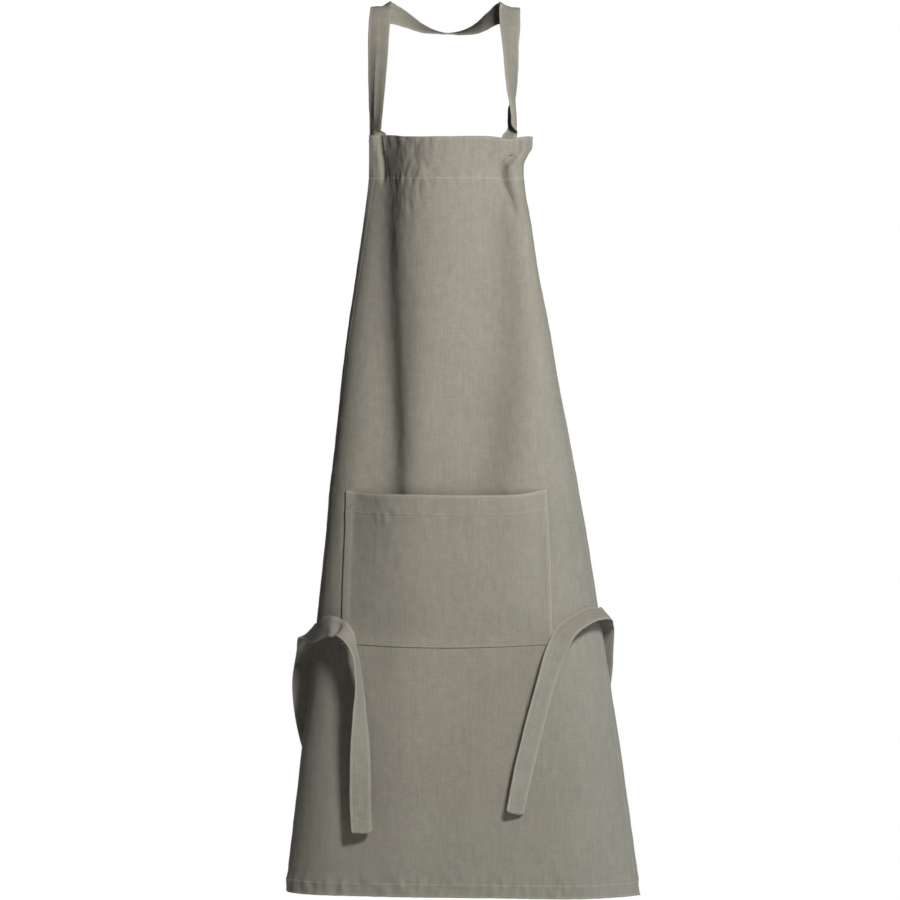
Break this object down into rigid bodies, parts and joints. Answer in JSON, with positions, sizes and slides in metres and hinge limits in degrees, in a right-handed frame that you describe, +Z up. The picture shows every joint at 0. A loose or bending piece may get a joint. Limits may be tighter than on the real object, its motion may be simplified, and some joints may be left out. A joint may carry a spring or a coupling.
{
  "type": "cotton apron",
  "caption": "Long cotton bib apron hanging from its neck strap, flared skirt open at the back, wide patch pocket at the waist and waist ties draped over the sides to the front.",
  "frame": {"origin": "where the neck strap hangs: midway between its two top folds, at the underside of the strap", "axes": "+Z up along the hanging cloth, -Y out of the front of the apron towards the viewer, +X to the viewer's right"},
  "size_m": [0.4718, 0.1874, 1.1886],
  "materials": {
    "body_cloth": "matt washed cotton in plain weave, warm grey",
    "pocket_cloth": "matt washed cotton in plain weave, warm grey",
    "strap_cloth": "matt washed cotton folded into a flat strap and stitched along its edges",
    "tie_cloth": "matt washed cotton folded into a flat tie and stitched along its edges"
  },
  "bodies": {
    "root": {"body_panel": "body_cloth", "pocket": "pocket_cloth", "neck_strap": "strap_cloth", "left_tie": "tie_cloth", "right_tie": "tie_cloth"}
  },
  "joints": []
}
